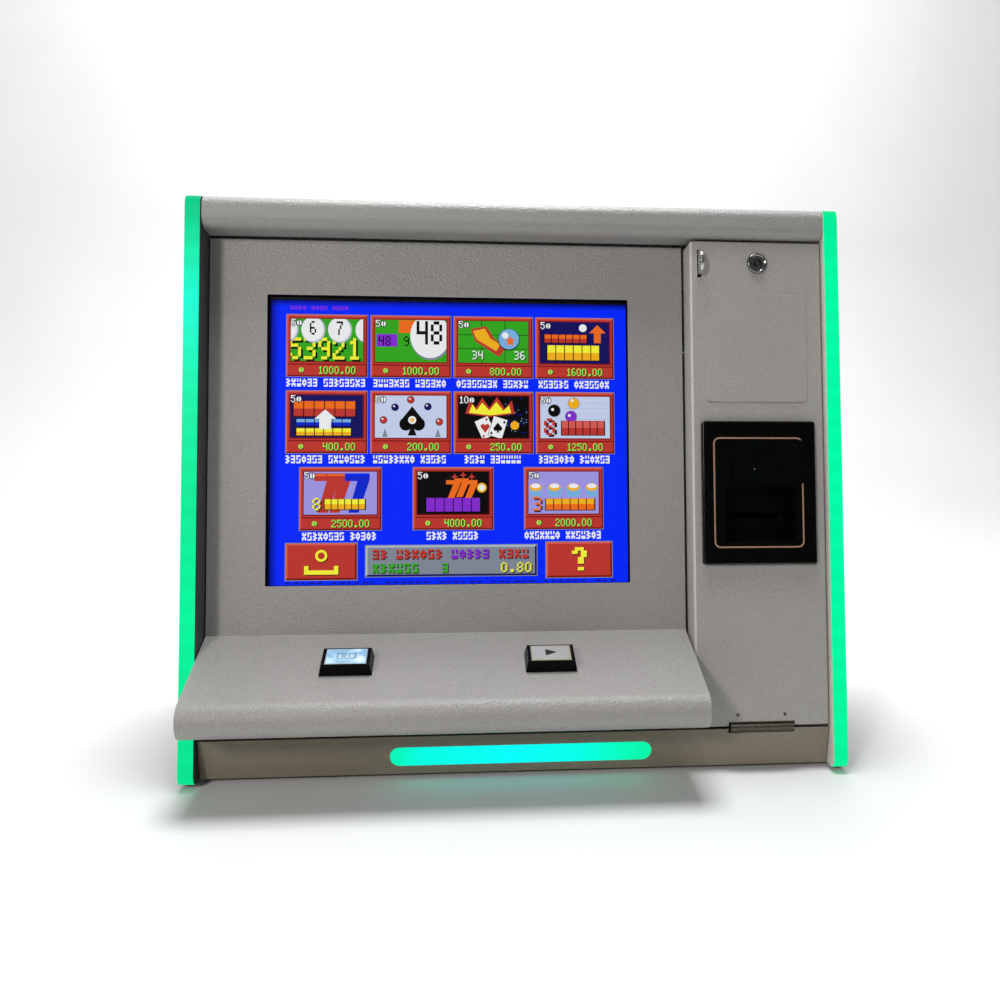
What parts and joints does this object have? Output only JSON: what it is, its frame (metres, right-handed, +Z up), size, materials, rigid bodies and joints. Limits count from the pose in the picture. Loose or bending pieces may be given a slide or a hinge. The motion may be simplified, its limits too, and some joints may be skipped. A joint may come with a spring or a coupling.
{
  "type": "video poker machine",
  "caption": "Leaning steel touch-screen card-game cabinet with lit side edges, a button deck on the main door and a narrow door carrying a bill acceptor, cam lock and staple.",
  "frame": {"origin": "under the middle of the machine, at the underside of its feet", "axes": "+Z up, +Y from the player towards the wall, +X to the player's right"},
  "size_m": [0.674, 0.3598, 0.584],
  "materials": {
    "body_paint": "textured grey powder coat",
    "hood_paint": "lighter textured powder coat",
    "base_paint": "textured powder coat",
    "side_board": "fibreboard with a dark laminate",
    "edge_light": "translucent moulding lit from behind",
    "base_light": "translucent lens lit from behind",
    "led_tape": "white strip with light-emitting diodes",
    "zinc_steel": "zinc-plated",
    "staple_steel": "nickel-plated",
    "black_plastic": "moulded, fine grain",
    "mouth_plastic": "moulded, satin",
    "copper_trim": "copper-coloured band",
    "circuit_board": "solder mask with black components",
    "white_board": "white solder mask",
    "rubber": "matt",
    "rocker_red": "gloss",
    "glass": "clear, polished",
    "display": "lit display in a black frame",
    "cap_lit": "translucent, lit",
    "cap_plain": "translucent, unlit",
    "switch_body": "gloss",
    "cash_paint": "dark grey, smooth",
    "chrome": "polished",
    "hinge_metal": "dull plated"
  },
  "bodies": {
    "cabinet": {"side_board_left": "side_board", "side_board_right": "side_board", "edge_diffuser_left": "edge_light", "edge_diffuser_right": "edge_light", "edge_led_tape_left": "led_tape", "edge_led_tape_right": "led_tape", "top_hood": "hood_paint", "back_panel": "body_paint", "bottom_panel": "body_paint", "base_front_panel": "base_paint", "base_light_lens": "base_light", "base_led_board": "white_board", "frame_post": "body_paint", "header_rail": "body_paint", "padlock_staple": "staple_steel", "slide_bolt_body": "zinc_steel", "power_supply": "zinc_steel", "game_board": "circuit_board", "board_standoffs": "zinc_steel", "speaker": "black_plastic", "fan_frame": "black_plastic", "fan_guard": "zinc_steel", "power_inlet": "black_plastic", "rubber_feet": "rubber", "panel_screws": "zinc_steel", "main_hinge_frame_leaf": "zinc_steel", "main_hinge_pin": "zinc_steel", "bill_hinge_base_leaf": "hinge_metal", "bill_hinge_pin": "hinge_metal"},
    "main_door": {"main_door_panel": "body_paint", "main_hinge_door_leaf": "zinc_steel", "screen_gasket": "rubber", "touch_glass": "glass", "lcd_panel": "display", "lcd_brackets": "zinc_steel", "lcd_board": "circuit_board", "ticket_button_housing": "black_plastic", "ticket_button_nut": "black_plastic", "ticket_button_switch": "switch_body", "play_button_housing": "black_plastic", "play_button_nut": "black_plastic", "play_button_switch": "switch_body"},
    "bill_door": {"bill_door_panel": "body_paint", "blanking_plate": "body_paint", "acceptor_bezel": "black_plastic", "bezel_trim": "copper_trim", "acceptor_mouth": "mouth_plastic", "acceptor_head": "black_plastic", "acceptor_brackets": "zinc_steel", "lock_body": "chrome", "lock_nut": "chrome", "bill_hinge_door_leaf": "hinge_metal"},
    "slide_bolt": {"slide_bolt": "zinc_steel"},
    "fan_rotor": {"fan_rotor": "black_plastic"},
    "power_rocker": {"power_rocker": "rocker_red"},
    "ticket_button": {"ticket_button_cap": "cap_lit"},
    "play_button": {"play_button_cap": "cap_plain"},
    "cash_box": {"cash_box": "cash_paint"},
    "lock": {"lock_plug": "chrome", "lock_cam": "zinc_steel"}
  },
  "joints": [
    {"name": "main_door_hinge", "type": "hinge", "parent": "cabinet", "child": "main_door", "pos_m": [0, 0.01832, 0.54262], "axis": [-1, 0, 0], "range_deg": [0, 70]},
    {"name": "bill_door_hinge", "type": "hinge", "parent": "cabinet", "child": "bill_door", "pos_m": [0.2485, -0.10385, 0.04731], "axis": [1, 0, 0], "range_deg": [0, 95]},
    {"name": "ticket_button_press", "type": "slide", "parent": "main_door", "child": "ticket_button", "axis": [0, 0.2924, -0.9563], "range_m": [0, 0.003], "stiffness_N_per_m": 300, "springref_m": -0.002},
    {"name": "play_button_press", "type": "slide", "parent": "main_door", "child": "play_button", "axis": [0, 0.2924, -0.9563], "range_m": [0, 0.003], "stiffness_N_per_m": 300, "springref_m": -0.002},
    {"name": "lock_turn", "type": "hinge", "parent": "bill_door", "child": "lock", "pos_m": [0.251, -0.01937, 0.52642], "axis": [0, -0.9848, 0.1736], "range_deg": [0, 90]},
    {"name": "cash_box_slide", "type": "slide", "parent": "bill_door", "child": "cash_box", "axis": [0, 0.9848, -0.1736], "range_m": [0, 0.1]},
    {"name": "slide_bolt_throw", "type": "slide", "parent": "cabinet", "child": "slide_bolt", "axis": [-1, 0, 0], "range_m": [0, 0.01]},
    {"name": "fan_spin", "type": "hinge", "parent": "cabinet", "child": "fan_rotor", "pos_m": [-0.245, 0.157, 0.46], "axis": [0, 1, 0], "continuous": true},
    {"name": "power_rocker_tilt", "type": "hinge", "parent": "cabinet", "child": "power_rocker", "pos_m": [-0.215, 0.16886, 0.12225], "axis": [1, 0, 0], "range_deg": [0, 20]}
  ]
}
